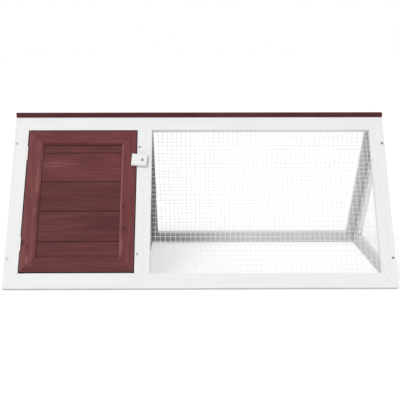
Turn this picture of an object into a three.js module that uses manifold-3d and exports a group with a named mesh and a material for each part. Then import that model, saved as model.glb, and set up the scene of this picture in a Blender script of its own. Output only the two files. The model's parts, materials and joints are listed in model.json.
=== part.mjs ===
// Tent-shaped rabbit hutch: a closed sleeping end with a hinged door, and a run closed with welded wire mesh.
// Millimetres. X runs along the length with the door at -X, the door side faces -Y, Z is up,
// and the origin is at the centre of the base.
import * as THREE from "three";
import { mergeVertices } from "three/addons/utils/BufferGeometryUtils.js";
import createManifold from "manifold-3d";

const wasm = await createManifold();
wasm.setup();

// Overall size
const LENGTH = 980;
const DEPTH = 500;
const HEIGHT = 419;
const SLOPE = THREE.MathUtils.degToRad(58.8);

// Stock
const BATTEN = 13; // thickness of every frame member
const BOARD = 8; // thickness of the tongued boards
const BOARD_PITCH = 81; // cover width of one board
const RAFTER_WIDTH = 38; // rafters and bottom rails of the three upright frames
const GAP = 0.3; // clearance between pieces that touch
const MITRE_GAP = 0.4; // the same clearance, measured up the slope at a 45 degree joint

// Sloping frames, measured along X from the left end and up the slope from the outer bottom edge
const LEFT_STILE = 36;
const MIDDLE_STILE = [325.5, 363.5];
const RIGHT_STILE = 38;
const OPENING_LOW = 38; // top edge of the bottom rail
const OPENING_HIGH = 430.5; // lower edge of the top rail
const BACK_BOARD_PITCH = 83;
const BACK_BOARD_START = 27;

// Ridge cap
const CAP_WIDTH = 18;
const CAP_THICK = 12;
const CAP_CHAMFER = 1;

// Upright frames: ends flush with the sloping frames, partition under the middle stile
const PARTITION_FACE = 346; // run side of the partition's boards, from the left end
const PARTITION_RAFTER = 18; // thick enough to stand behind the door's free edge and stop it
const WALL_BOARD_START = 2;
const WALL_BOARD_COUNT = 4;
const DOORWAY_HALF = 75;
const DOORWAY_SPRING = 120; // height where the arch starts
const DOORWAY_SILL = 38;

// Door
const DOOR_LEFT = 39;
const DOOR_RIGHT = 322.9;
const DOOR_LOW = 42;
const DOOR_HIGH = 428;
const DOOR_STILE = 38;
const DOOR_RAIL = 40;
const DOOR_BEVEL = [5, 3]; // width and depth of the bevel around the boards
const DOOR_REBATE = 10;
const DOOR_BOARD_FACE = 5; // how far the boards lie behind the door's face
const DOOR_FIRST_JOINT = 122.9;

// Butt hinges in the gap at the door's left edge
const HINGE_X = (LEFT_STILE + DOOR_LEFT) / 2;
const HINGE_OUT = 2; // barrel's centre in front of the door's face
const HINGE_LENGTH = 36;
const HINGE_CENTRES = { lower: 114, upper: 362 };
const LEAF_THICK = 0.8;
const LEAF_WIDTH = 11;
const BARREL_RADIUS = 1.8;
const BARREL_BORE = 1;
const PIN_RADIUS = 0.7;
const PIN_HEAD = 1.6;

// Turn button, turning on its screw
const BUTTON_PIVOT = [340, 340];
const BUTTON_LONG = 28;
const BUTTON_SHORT = 12;
const BUTTON_HALF = 15.5;
const BUTTON_THICK = 10;
const BUTTON_CLEAR = 0.5; // space between the button and the frame
const BUTTON_TILT = THREE.MathUtils.degToRad(-4.3);
const BUTTON_SCREW_TIP = -11;
const BUTTON_SCREW_HEAD = [[3.8, 0], [3.5, 1.4], [2.2, 2.4], [0, 2.4]]; // radii and heights above its seat

// Screws
const SHANK_RADIUS = 1.75;
const SCREW_HEAD_RADIUS = 3.4;
const SCREW_HEAD_DEPTH = 1.8;
const SCREW_LENGTH = 34;
const HOLE_CLEAR = 0.4;
const SCREW_SIDES = 12;
const END_SCREW_IN = 6.6; // screws in from each end of the hutch
const END_SCREWS = { lower: 76, upper: 391 };
const PARTITION_SCREW_X = 331;
const PARTITION_SCREWS = { lower: 88, upper: 381.5 };

// Wire mesh, drawn with every fifth wire of a 12.7 mm mesh
const WIRE = 1.4;
const WIRE_PITCH = 63.5;
const SMALLEST_CELL = 60; // square millimetres
const ON_LINE = 1e-3; // a corner this near a trimming line counts as on it
const MESH_LOW = 20;
const MESH_HIGH = 446;

const SIN = Math.sin(SLOPE);
const COS = Math.cos(SLOPE);
const TAN = Math.tan(SLOPE);

// Materials

function material(color, roughness, metalness) {
  return new THREE.MeshStandardMaterial({ color, roughness, metalness });
}

const whitePaint = () => material(0xebebe9, 0.55, 0);
const redStain = () => material(0x6f3e41, 0.6, 0);
const darkStain = () => material(0x5a3436, 0.55, 0);
const wireZinc = () => material(0xb9bcbe, 0.4, 0.9);
const hingeZinc = () => material(0xc3c3c0, 0.35, 1);
const yellowZinc = () => material(0xb9a57c, 0.35, 1);

// Solid helpers

function toManifold(geometry) {
  const bare = geometry.clone();
  bare.deleteAttribute("normal");
  bare.deleteAttribute("uv");
  const merged = mergeVertices(bare, 1e-4);
  const mesh = new wasm.Mesh({
    numProp: 3,
    vertProperties: new Float32Array(merged.attributes.position.array),
    triVerts: new Uint32Array(merged.index.array),
  });
  return new wasm.Manifold(mesh);
}

function toGeometry(solid) {
  const mesh = solid.getMesh();
  const geometry = new THREE.BufferGeometry();
  geometry.setAttribute("position", new THREE.BufferAttribute(new Float32Array(mesh.vertProperties), 3));
  geometry.setIndex(new THREE.BufferAttribute(new Uint32Array(mesh.triVerts), 1));
  geometry.computeVertexNormals();
  return geometry;
}

const toVectors = (points) => points.map(([x, y]) => new THREE.Vector2(x, y));
const join = (first, ...rest) => rest.reduce((sum, next) => sum.add(next), first);
const cut = (first, ...tools) => tools.reduce((left, tool) => left.subtract(tool), first);

function node(name, solid, mat) {
  const mesh = new THREE.Mesh(toGeometry(solid), mat);
  mesh.name = name;
  return mesh;
}

function group(name, ...children) {
  const made = new THREE.Group();
  made.name = name;
  children.forEach((child) => made.add(child));
  return made;
}

// A polygon in the XY plane, extruded along Z from z0 to z1
function prism(points, z0, z1) {
  const shape = new THREE.Shape(toVectors(points));
  const geometry = new THREE.ExtrudeGeometry(shape, { depth: z1 - z0, bevelEnabled: false });
  return toManifold(geometry.translate(0, 0, z0));
}

// A polygon in the YZ plane, extruded along X from x0 to x1
function lengthwise(points, x0, x1) {
  const shape = new THREE.Shape(toVectors(points));
  const geometry = new THREE.ExtrudeGeometry(shape, { depth: x1 - x0, bevelEnabled: false });
  geometry.applyMatrix4(new THREE.Matrix4().set(0, 0, 1, x0, 1, 0, 0, 0, 0, 1, 0, 0, 0, 0, 0, 1));
  return toManifold(geometry);
}

const rectangle = (x0, x1, y0, y1) => [[x0, y0], [x1, y0], [x1, y1], [x0, y1]];
const block = (x0, x1, y0, y1, z0, z1) => prism(rectangle(x0, x1, y0, y1), z0, z1);

// A solid turned about Y from [radius, y] points, moved to (x, y, z)
function turned(profile, x, y, z) {
  return toManifold(new THREE.LatheGeometry(toVectors(profile), SCREW_SIDES).translate(x, y, z));
}

// Countersunk screw along -Z with its head flush at z = 0, grown by clear on every side
function countersunk(x, y, length, clear) {
  const profile = [
    [0, -length - clear],
    [SHANK_RADIUS + clear, -length - clear],
    [SHANK_RADIUS + clear, -SCREW_HEAD_DEPTH],
    [SCREW_HEAD_RADIUS + clear, 0],
    [SCREW_HEAD_RADIUS + clear, clear],
    [0, clear],
  ];
  const geometry = new THREE.LatheGeometry(toVectors(profile), SCREW_SIDES).rotateX(Math.PI / 2);
  return toManifold(geometry.translate(x, y, 0));
}

// Sloping panels. Their local frame is X along, Y up the slope and Z outwards from the outer face.

function slopeGroup(name, facing) {
  const tilted = group(name);
  tilted.position.set(-LENGTH / 2, -DEPTH / 2, BATTEN * COS);
  tilted.rotation.x = SLOPE;
  const turnedRound = group(`${name}_side`, tilted);
  turnedRound.rotation.z = facing === "back" ? Math.PI : 0;
  turnedRound.updateMatrixWorld(true);
  return { outer: turnedRound, panel: tilted };
}

// Where a point of the front panel's cross-section, given by world y and z, lies in the panel's frame
function onPanel(y, z) {
  const out = y + DEPTH / 2;
  const up = z - BATTEN * COS;
  return [out * COS + up * SIN, up * COS - out * SIN];
}

// The panel's whole cross-section: square below, trimmed flat under the ridge cap and plumb at the ridge
function panelSection() {
  const flat = HEIGHT - CAP_THICK - GAP;
  const middle = -GAP / 2;
  const outerTop = [(flat - BATTEN * COS) / SIN, 0];
  const ridge = onPanel(middle, flat);
  const innerTop = onPanel(middle, ((middle + DEPTH / 2) * SIN - BATTEN) / COS + BATTEN * COS);
  return lengthwise([[0, 0], outerTop, ridge, innerTop, [0, -BATTEN]].reverse(), 0, LENGTH);
}

const PANEL_TOP = (HEIGHT - CAP_THICK - GAP - BATTEN * COS) / SIN;

// The five members of one sloping frame, mitred at the corners.
// first and last are the widths of the end stiles and middle is the middle stile's two edges.
function slopingFrame(side, names, first, middle, last, holes) {
  const section = panelSection();
  const beyond = PANEL_TOP + BATTEN;
  const right = LENGTH - last;
  const outlines = {
    bottom_rail: [[0, 0], [LENGTH, 0], [right, OPENING_LOW], [first, OPENING_LOW]],
    top_rail: [
      [first, OPENING_HIGH], [right, OPENING_HIGH], [LENGTH, PANEL_TOP],
      [LENGTH, beyond], [0, beyond], [0, PANEL_TOP],
    ],
    [`${names[0]}_stile`]: [
      [0, MITRE_GAP], [first, OPENING_LOW + MITRE_GAP],
      [first, OPENING_HIGH - MITRE_GAP], [0, PANEL_TOP - MITRE_GAP],
    ],
    middle_stile: rectangle(middle[0], middle[1], OPENING_LOW + GAP, OPENING_HIGH - GAP),
    [`${names[1]}_stile`]: [
      [right, OPENING_LOW + MITRE_GAP], [LENGTH, MITRE_GAP],
      [LENGTH, PANEL_TOP - MITRE_GAP], [right, OPENING_HIGH - MITRE_GAP],
    ],
  };
  return Object.entries(outlines).map(([name, outline]) => {
    const member = prism(outline, -BATTEN, 0).intersect(section);
    return node(`${side}_${name}`, cut(member, ...holes), whitePaint());
  });
}

// Tongued board: front face at z = face, back at face - BOARD, cover width from y0 to y1
function tonguedBoard(x0, x1, y0, y1, face, hasTongue, hasGroove) {
  const chamfer = 1.2;
  const tongue = [face - 2.8, face - 5.2, 3.4];
  const groove = [face - 2.5, face - 5.5, 4];
  const low = y0 + GAP / 2;
  const high = y1 - GAP / 2;
  const back = face - BOARD;
  const top = hasTongue
    ? [[high, tongue[0]], [y1 + tongue[2], tongue[0]], [y1 + tongue[2], tongue[1]], [high, tongue[1]]]
    : [];
  const bottom = hasGroove
    ? [[low, groove[1]], [y0 + groove[2], groove[1]], [y0 + groove[2], groove[0]], [low, groove[0]]]
    : [];
  const outline = [
    [low, face - chamfer], [low + chamfer, face], [high - chamfer, face], [high, face - chamfer],
    ...top, [high, back], [low, back], ...bottom,
  ];
  return lengthwise(outline.reverse(), x0, x1);
}

// Boards between the joints listed from the bottom up; each one's tongue enters the next one's groove
function boardRow(x0, x1, joints, face) {
  const last = joints.length - 2;
  return joints.slice(0, -1).map((low, i) => tonguedBoard(x0, x1, low, joints[i + 1], face, i < last, i > 0));
}

// The part of a convex polygon on the side of a line where (px, py) . normal is at least offset
function clip(points, [nx, ny], offset) {
  const side = ([x, y]) => x * nx + y * ny - offset;
  return points.flatMap((point, i) => {
    const next = points[(i + 1) % points.length];
    const [here, there] = [side(point), side(next)];
    const kept = here >= -ON_LINE ? [point] : [];
    if (Math.min(here, there) < -ON_LINE && Math.max(here, there) > ON_LINE) {
      const share = here / (here - there);
      kept.push([point[0] + share * (next[0] - point[0]), point[1] + share * (next[1] - point[1])]);
    }
    return kept;
  });
}

// A cell of the mesh trimmed to a convex polygon that runs anticlockwise
function trimmedCell(cell, polygon) {
  return polygon.reduce((kept, [x0, y0], i) => {
    const [x1, y1] = polygon[(i + 1) % polygon.length];
    const normal = [y0 - y1, x1 - x0];
    return clip(kept, normal, x0 * normal[0] + y0 * normal[1]);
  }, cell);
}

// Welded mesh: square cells from a corner of the inner outline, cut through a sheet as thick as the wire
function wireMesh(outline, inner, z0) {
  const xs = inner.map(([x]) => x);
  const ys = inner.map(([, y]) => y);
  const open = WIRE_PITCH - WIRE;
  const cells = [];
  for (let x = Math.min(...xs); x < Math.max(...xs); x += WIRE_PITCH) {
    for (let y = Math.min(...ys); y < Math.max(...ys); y += WIRE_PITCH) {
      const cell = trimmedCell(rectangle(x, x + open, y, y + open), inner);
      if (cell.length > 2 && Math.abs(THREE.ShapeUtils.area(toVectors(cell))) > SMALLEST_CELL) {
        cells.push(prism(cell, z0 - 2 * WIRE, z0 + WIRE));
      }
    }
  }
  return cut(prism(outline, z0 - WIRE, z0), ...cells);
}

function runMesh(side, x0, x1) {
  const outline = rectangle(x0, x1, MESH_LOW, MESH_HIGH);
  const inner = rectangle(x0 + WIRE, x1 - WIRE, MESH_LOW + WIRE, MESH_HIGH - WIRE);
  return node(`${side}_run_mesh`, wireMesh(outline, inner, -BATTEN - GAP), wireZinc());
}

// Upright frames. Their local frame is Y up and Z outwards from the face; X runs across the hutch.

function wallGroup(name, x, facing) {
  const wall = group(name);
  wall.position.x = x;
  wall.rotation.set(Math.PI / 2, (facing * Math.PI) / 2, 0);
  wall.updateMatrixWorld(true);
  return wall;
}

// Half the hutch's width at height z, measured to a plane that lies depth behind a panel's outer face
const halfWidth = (z, depth) => DEPTH / 2 - (z - BATTEN * COS) / TAN - depth / SIN;
const apex = (depth) => (DEPTH / 2 - GAP / 2 - depth / SIN) * TAN + BATTEN * COS;

// Across, in a wall's own frame, towards the hutch's front (-1) or back (+1)
const across = (facing, end, distance) => facing * end * distance;

function rafter(facing, end, depth, z0, z1) {
  const low = RAFTER_WIDTH + GAP;
  const inner = depth + RAFTER_WIDTH;
  const outline = [
    [across(facing, end, halfWidth(low, depth)), low],
    [across(facing, end, GAP / 2), apex(depth)],
    [across(facing, end, GAP / 2), apex(inner)],
    [across(facing, end, halfWidth(low, inner)), low],
  ];
  return prism(outline, z0, z1);
}

function wallOutline(facing, frontDepth, backDepth, low, high) {
  return [
    [across(facing, -1, halfWidth(low, frontDepth)), low],
    [across(facing, 1, halfWidth(low, backDepth)), low],
    [across(facing, 1, halfWidth(high, backDepth)), high],
    [across(facing, -1, halfWidth(high, frontDepth)), high],
  ];
}

// Two rafters and a bottom rail, bored for the screws that come through the front panel
function uprightFrame(name, wall, facing, backDepth, z0, z1, holes) {
  const front = BATTEN + GAP;
  const toWall = wall.matrixWorld.clone().invert();
  const bores = holes.map((hole) => hole.transform(toWall.elements));
  const rail = wallOutline(facing, front, backDepth, 0, RAFTER_WIDTH);
  return [
    node(`${name}_front_rafter`, cut(rafter(facing, -1, front, z0, z1), ...bores), whitePaint()),
    node(`${name}_back_rafter`, rafter(facing, 1, backDepth, z0, z1), whitePaint()),
    node(`${name}_bottom_rail`, prism(rail, z0, z1), whitePaint()),
  ];
}

function wallBoards(facing, face) {
  const joints = Array.from({ length: WALL_BOARD_COUNT + 1 }, (_, i) => WALL_BOARD_START + i * BOARD_PITCH);
  const outline = wallOutline(facing, BATTEN + GAP, BATTEN + BOARD + 2 * GAP, 0, joints.at(-1) + GAP);
  const trim = prism(outline, face - 2 * BOARD, face + BOARD);
  return boardRow(-DEPTH / 2, DEPTH / 2, joints, face).map((board) => board.intersect(trim));
}

function leftEnd(holes) {
  const wall = wallGroup("left_end", -LENGTH / 2, -1);
  wall.add(...uprightFrame("left_end", wall, -1, BATTEN + GAP, -BATTEN, 0, holes));
  wallBoards(-1, -BATTEN - GAP).forEach((board, i) => {
    wall.add(node(`left_end_board_${i + 1}`, board, redStain()));
  });
  return wall;
}

function rightEnd(holes) {
  const wall = wallGroup("right_end", LENGTH / 2, 1);
  const depth = BATTEN + GAP;
  const low = 8;
  const triangle = (inset) => [
    [-halfWidth(low + inset, depth + inset), low + inset],
    [halfWidth(low + inset, depth + inset), low + inset],
    [0, apex(depth + inset)],
  ];
  wall.add(...uprightFrame("right_end", wall, 1, depth, -BATTEN, 0, holes));
  wall.add(node("right_end_mesh", wireMesh(triangle(GAP), triangle(GAP + WIRE), -depth), wireZinc()));
  return wall;
}

function doorwayTool() {
  const arch = Array.from({ length: 13 }, (_, i) => {
    const angle = (i * Math.PI) / 12;
    return [DOORWAY_HALF * Math.cos(angle), DOORWAY_SPRING + DOORWAY_HALF * Math.sin(angle)];
  });
  return prism([[-DOORWAY_HALF, DOORWAY_SILL], [DOORWAY_HALF, DOORWAY_SILL], ...arch], -4 * BOARD, BOARD);
}

function partition(holes) {
  const wall = wallGroup("partition", PARTITION_FACE - LENGTH / 2, 1);
  const backDepth = BATTEN + BOARD + 2 * GAP;
  const back = -BOARD - GAP;
  wall.add(...uprightFrame("partition", wall, 1, backDepth, back - PARTITION_RAFTER, back, holes));
  const doorway = doorwayTool();
  const halves = {
    front: block(-DEPTH, 0, 0, HEIGHT, -DEPTH, DEPTH),
    back: block(0, DEPTH, 0, HEIGHT, -DEPTH, DEPTH),
  };
  wallBoards(1, 0).forEach((board, i) => {
    const cutBoard = board.subtract(doorway);
    if (i === 1) {
      // the doorway cuts this board in two
      for (const [end, half] of Object.entries(halves)) {
        wall.add(node(`partition_board_2_${end}`, cutBoard.intersect(half), whitePaint()));
      }
    } else {
      wall.add(node(`partition_board_${i + 1}`, cutBoard, whitePaint()));
    }
  });
  return wall;
}

// Door, in the front panel's frame

function doorFrame() {
  const left = DOOR_LEFT + DOOR_STILE;
  const right = DOOR_RIGHT - DOOR_STILE;
  const low = DOOR_LOW + DOOR_RAIL;
  const high = DOOR_HIGH - DOOR_RAIL;
  const rebate = block(
    left - DOOR_REBATE, right + DOOR_REBATE, low - DOOR_REBATE, high + DOOR_REBATE,
    -2 * BATTEN, -DOOR_BOARD_FACE + GAP,
  );
  const opening = new THREE.Shape(toVectors(rectangle(left, right, low, high)));
  const [bevelSize, bevelThickness] = DOOR_BEVEL;
  const bevel = toManifold(
    new THREE.ExtrudeGeometry(opening, { depth: 1, bevelSize, bevelThickness, bevelSegments: 1 }),
  );
  const outlines = {
    door_bottom_rail: [[DOOR_LEFT, DOOR_LOW], [DOOR_RIGHT, DOOR_LOW], [right, low], [left, low]],
    door_top_rail: [[left, high], [right, high], [DOOR_RIGHT, DOOR_HIGH], [DOOR_LEFT, DOOR_HIGH]],
    door_left_stile: [
      [DOOR_LEFT, DOOR_LOW + MITRE_GAP], [left, low + MITRE_GAP],
      [left, high - MITRE_GAP], [DOOR_LEFT, DOOR_HIGH - MITRE_GAP],
    ],
    door_right_stile: [
      [right, low + MITRE_GAP], [DOOR_RIGHT, DOOR_LOW + MITRE_GAP],
      [DOOR_RIGHT, DOOR_HIGH - MITRE_GAP], [right, high - MITRE_GAP],
    ],
  };
  return Object.entries(outlines).map(([name, outline]) => {
    return node(name, cut(prism(outline, -BATTEN, 0), rebate, bevel), redStain());
  });
}

function doorBoards() {
  const inset = DOOR_REBATE - GAP;
  const joints = [DOOR_LOW + DOOR_RAIL - inset];
  const end = DOOR_HIGH - DOOR_RAIL + inset;
  for (let joint = DOOR_FIRST_JOINT; joint < end; joint += BOARD_PITCH) {
    joints.push(joint);
  }
  joints.push(end);
  const x0 = DOOR_LEFT + DOOR_STILE - inset;
  const x1 = DOOR_RIGHT - DOOR_STILE + inset;
  return boardRow(x0, x1, joints, -DOOR_BOARD_FACE).map((board, i) => {
    return node(`door_board_${i + 1}`, board, redStain());
  });
}

// One leaf: a plate in the gap and the knuckles it carries, each given as its two ends up the slope
function hingeLeaf(x0, low, knuckles) {
  const x1 = x0 + LEAF_THICK;
  const underBarrel = HINGE_OUT - BARREL_RADIUS - GAP;
  const plate = block(x0, x1, low, low + HINGE_LENGTH, -LEAF_WIDTH, underBarrel);
  const rings = knuckles.map(([y0, y1]) => {
    const tab = block(x0, x1, y0, y1, underBarrel - LEAF_THICK, HINGE_OUT - BARREL_BORE - LEAF_THICK / 2);
    const knuckle = rectangle(BARREL_BORE, BARREL_RADIUS, 0, y1 - y0);
    return join(tab, turned([...knuckle, knuckle[0]], HINGE_X, y0, HINGE_OUT));
  });
  return join(plate, ...rings);
}

function hingePin(low) {
  const head = 0.8;
  const high = HINGE_LENGTH + GAP;
  const profile = [
    [0, -GAP - head], [PIN_HEAD, -GAP - head], [PIN_HEAD, -GAP], [PIN_RADIUS, -GAP],
    [PIN_RADIUS, high], [PIN_HEAD, high], [PIN_HEAD, high + head], [0, high + head],
  ];
  return turned(profile, HINGE_X, low, HINGE_OUT);
}

// A hinge with two outer knuckles on the frame's leaf and one on the door's
function hinge(name, centre) {
  const low = centre - HINGE_LENGTH / 2;
  const high = centre + HINGE_LENGTH / 2;
  const third = HINGE_LENGTH / 3;
  const fixed = hingeLeaf(LEFT_STILE + GAP, low, [[low, low + third - GAP], [high - third + GAP, high]]);
  const moving = hingeLeaf(DOOR_LEFT - GAP - LEAF_THICK, low, [[low + third, high - third]]);
  return {
    fixed: [
      node(`${name}_hinge_frame_leaf`, fixed, hingeZinc()),
      node(`${name}_hinge_pin`, hingePin(low), hingeZinc()),
    ],
    moving: [node(`${name}_hinge_door_leaf`, moving, hingeZinc())],
  };
}

// The door hangs in a group on the hinge axis; the group inside it goes back to the panel's frame
function door(leaves) {
  const leaf = group("door_pieces", ...doorFrame(), ...doorBoards(), ...leaves);
  leaf.position.set(-HINGE_X, 0, -HINGE_OUT);
  const hung = group("door", leaf);
  hung.position.set(HINGE_X, 0, HINGE_OUT);
  return hung;
}

// Turn button

function turnButton() {
  const face = BUTTON_CLEAR + BUTTON_THICK;
  const wood = block(-BUTTON_LONG, BUTTON_SHORT, -BUTTON_HALF, BUTTON_HALF, BUTTON_CLEAR, face);
  const bored = cut(wood, shank(face + 1, 0, HOLE_CLEAR));
  const button = group("button", node("turn_button", bored, whitePaint()));
  button.position.set(BUTTON_PIVOT[0], BUTTON_PIVOT[1], 0);
  button.rotation.z = BUTTON_TILT;
  return button;
}

// A straight round bar about Z from z1 down to z0
function shank(z1, z0, clear) {
  const radius = SHANK_RADIUS + clear;
  const profile = toVectors([[0, 0], [radius, 0], [radius, z1 - z0], [0, z1 - z0]]);
  return toManifold(new THREE.LatheGeometry(profile, SCREW_SIDES).rotateX(Math.PI / 2).translate(0, 0, z0));
}

function buttonScrew() {
  const seat = BUTTON_CLEAR + BUTTON_THICK + GAP;
  const head = BUTTON_SCREW_HEAD.map(([radius, rise]) => [radius, seat + rise]);
  const profile = [[0, BUTTON_SCREW_TIP], [SHANK_RADIUS, BUTTON_SCREW_TIP], [SHANK_RADIUS, seat], ...head];
  const geometry = new THREE.LatheGeometry(toVectors(profile), SCREW_SIDES).rotateX(Math.PI / 2);
  return toManifold(geometry.translate(BUTTON_PIVOT[0], BUTTON_PIVOT[1], 0));
}

// Assembly screws, in the front panel's frame

function screwPlaces() {
  const rows = [
    ["left_end", END_SCREW_IN, END_SCREWS],
    ["partition", PARTITION_SCREW_X, PARTITION_SCREWS],
    ["right_end", LENGTH - END_SCREW_IN, END_SCREWS],
  ];
  return rows.flatMap(([name, x, heights]) => {
    return Object.entries(heights).map(([level, y]) => ({ name: `${name}_screw_${level}`, x, y }));
  });
}

function ridgeCap() {
  const half = CAP_WIDTH / 2;
  const under = HEIGHT - CAP_THICK;
  const outline = [
    [-half, under], [half, under], [half, HEIGHT - CAP_CHAMFER], [half - CAP_CHAMFER, HEIGHT],
    [CAP_CHAMFER - half, HEIGHT], [-half, HEIGHT - CAP_CHAMFER],
  ];
  return node("ridge_cap", lengthwise(outline, -LENGTH / 2, LENGTH / 2), darkStain());
}

function frontSide(places) {
  const { outer, panel } = slopeGroup("front_panel", "front");
  const holes = places.map(({ x, y }) => countersunk(x, y, SCREW_LENGTH, HOLE_CLEAR));
  const pilot = shank(1, BUTTON_SCREW_TIP - GAP, HOLE_CLEAR).translate([...BUTTON_PIVOT, 0]);
  const hinges = Object.entries(HINGE_CENTRES).map(([name, centre]) => hinge(name, centre));
  panel.add(
    ...slopingFrame("front", ["left", "right"], LEFT_STILE, MIDDLE_STILE, RIGHT_STILE, [...holes, pilot]),
    runMesh("front", PARTITION_FACE + GAP, LENGTH - BATTEN - WIRE - 2 * GAP),
    door(hinges.flatMap((each) => each.moving)),
    ...hinges.flatMap((each) => each.fixed),
    turnButton(),
    node("turn_button_screw", buttonScrew(), yellowZinc()),
    ...places.map(({ name, x, y }) => node(name, countersunk(x, y, SCREW_LENGTH, 0), yellowZinc())),
  );
  const inWorld = holes.map((hole) => hole.transform(panel.matrixWorld.elements));
  return { outer, holes: inWorld };
}

function backSide() {
  const { outer, panel } = slopeGroup("back_panel", "back");
  const middle = [LENGTH - MIDDLE_STILE[1], LENGTH - MIDDLE_STILE[0]];
  const joints = Array.from({ length: 6 }, (_, i) => BACK_BOARD_START + i * BACK_BOARD_PITCH);
  const boardEnds = [LENGTH - PARTITION_FACE, LENGTH - BATTEN - GAP];
  panel.add(
    ...slopingFrame("back", ["right", "left"], RIGHT_STILE, middle, LEFT_STILE, []),
    runMesh("back", BATTEN + WIRE + 2 * GAP, LENGTH - PARTITION_FACE - GAP),
  );
  boardRow(boardEnds[0], boardEnds[1], joints, -BATTEN - GAP).forEach((board, i) => {
    panel.add(node(`back_board_${i + 1}`, board, redStain()));
  });
  return outer;
}

const places = screwPlaces();
const front = frontSide(places);
const holesOf = (name) => front.holes.filter((_, i) => places[i].name.startsWith(name));

const hutch = group(
  "rabbit_hutch",
  front.outer,
  backSide(),
  leftEnd(holesOf("left_end")),
  partition(holesOf("partition")),
  rightEnd(holesOf("right_end")),
  ridgeCap(),
);

export default hutch;
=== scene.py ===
import json
import math

import bmesh
import bpy
from mathutils import Matrix, Vector, noise


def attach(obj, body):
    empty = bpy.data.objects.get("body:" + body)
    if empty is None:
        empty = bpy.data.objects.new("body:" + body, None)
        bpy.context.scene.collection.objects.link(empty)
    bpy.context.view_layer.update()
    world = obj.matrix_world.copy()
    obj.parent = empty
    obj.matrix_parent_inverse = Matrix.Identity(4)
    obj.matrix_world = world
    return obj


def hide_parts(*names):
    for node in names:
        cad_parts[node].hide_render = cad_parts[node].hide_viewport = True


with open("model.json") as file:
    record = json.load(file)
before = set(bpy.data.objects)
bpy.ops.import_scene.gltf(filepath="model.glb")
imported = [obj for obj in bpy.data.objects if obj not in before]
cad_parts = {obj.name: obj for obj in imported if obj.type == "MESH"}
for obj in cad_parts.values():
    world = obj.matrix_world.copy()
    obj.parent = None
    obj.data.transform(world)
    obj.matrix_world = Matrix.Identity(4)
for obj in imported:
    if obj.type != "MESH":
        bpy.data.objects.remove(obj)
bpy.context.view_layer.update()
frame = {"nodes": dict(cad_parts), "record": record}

# Sizes that the solids share
LENGTH = 0.980
DEPTH = 0.500
HEIGHT = 0.419
SLOPE = math.radians(58.8)
BATTEN = 0.013
BOARD = 0.008
CAP_THICK = 0.012
GAP = 0.0003
MITRE_GAP = 0.0004

# Sloping frames, in the front panel's frame
LEFT_STILE = 0.036
MIDDLE_STILE = (0.3255, 0.3635)
RIGHT_STILE = 0.038
OPENING_LOW = 0.038
OPENING_HIGH = 0.4305

# Arrises of the timber, rounded to a width that depends on its coat
EASED = {"white_paint": 0.0002, "red_stain": 0.0005, "dark_stain": 0.0005}
SHARP_ANGLE = math.radians(40)
FLAT_ANGLE = math.radians(1.0)
WELD_REACH = 0.00001

# Paint in the joints, below the face
PAINT_DEPTH = 0.0001
PAINT_SEED = 90

# Wire mesh, in the front panel's frame
MESH_PITCH = 0.0127
MESH_LEFT = 0.3463
MESH_RIGHT = 0.9653
MESH_LOW = 0.020
MESH_HIGH = 0.446
END_MESH_LOW = 0.009
END_MESH_TOP_GAP = 0.001
MESH_SEEDS = {"front": 1.3, "back": 4.9, "right_end": 8.2}

# Its wires: both layers sink a little into each other where they are welded
WIRE_RADIUS = 0.00042
WIRE_SIDES = 6
WIRE_STEP = 0.016
WELDED_SHARE = 0.85
MESH_HEIGHT = -BATTEN - GAP - 2 * WIRE_RADIUS

# Its slack: how far it gives at most, where that starts from the edges, and how finely it varies per metre
SLACK_OUT = 0.0022
SLACK_ACROSS = 0.0013
SLACK_START = 0.022
SLACK_RISE = 0.05
SLACK_BROAD = 7.0
SLACK_FINE = 21.0
SLACK_FINE_SHARE = 0.6

# Staples
STAPLE_HALF = 0.0048
STAPLE_LEG = 0.0021
STAPLE_WIRE = 0.00045
STAPLE_SIDES = 6
STAPLE_HEIGHT = -BATTEN - GAP - 4 * WIRE_RADIUS - 0.0004
STAPLE_PITCH = 0.082
STAPLES_ACROSS = [MESH_LEFT + 0.009 + i * STAPLE_PITCH for i in range(8)]
STAPLES_UP = [0.060 + i * STAPLE_PITCH for i in range(5)]
STAPLE_ROWS = (0.029, 0.438)
STAPLE_COLUMNS = (MESH_LEFT + 0.008, MESH_RIGHT - 0.010)
END_STAPLES_ACROSS = (-0.20, -0.12, -0.04, 0.04, 0.12, 0.20)
END_STAPLES_UP = (0.08, 0.16, 0.24)
END_STAPLE_ROW = 0.020
END_STAPLE_IN = 0.020
ROW_TURN = 0.3
COLUMN_TURN = 1.2
RAFTER_TURN = 1.0
STAPLE_SWAY = 0.5

# Screws: radius of the head, how far it stands above its seat, and length of the shank
FRONT_SCREW = (0.0034, 0.0003, 0.033)
BACK_SCREW = (0.0034, 0.0003, 0.006)
BUTTON_SCREW = (0.0037, 0.0022, 0.020)
HEAD_SIDES = 28
HEAD_UNDER = -0.0016
HEAD_CROWN = 1.02
HEAD_FLAT = 0.62
RECESS_DEPTH = 0.0011
RECESS_ARM = 0.56
RECESS_SLOT = 0.13
RECESS_FLOOR = 0.55
SHANK_RADIUS = 0.00165
SHANK_TOP = -0.0012
SHANK_SIDES = 16
TIP_RADIUS = 0.0006
TIP_LENGTH = 0.004
BUTTON_PIVOT = (0.340, 0.340)
BUTTON_FACE = 0.0105
BUTTON_SCREW_TURN = 0.5
SCREW_LIFT = 0.0001
SCREW_TURN = (7.3, 3.1)

# Screws of the upright frames: where they are along the front panel and up its slope
END_SCREW_IN = 0.0066
END_SCREWS = {"lower": 0.076, "upper": 0.391}
PARTITION_SCREWS = {"lower": 0.088, "upper": 0.3815}
FRAME_SCREWS = [
    ("left_end", END_SCREW_IN, END_SCREWS),
    ("partition", 0.331, PARTITION_SCREWS),
    ("right_end", LENGTH - END_SCREW_IN, END_SCREWS),
]

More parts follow.
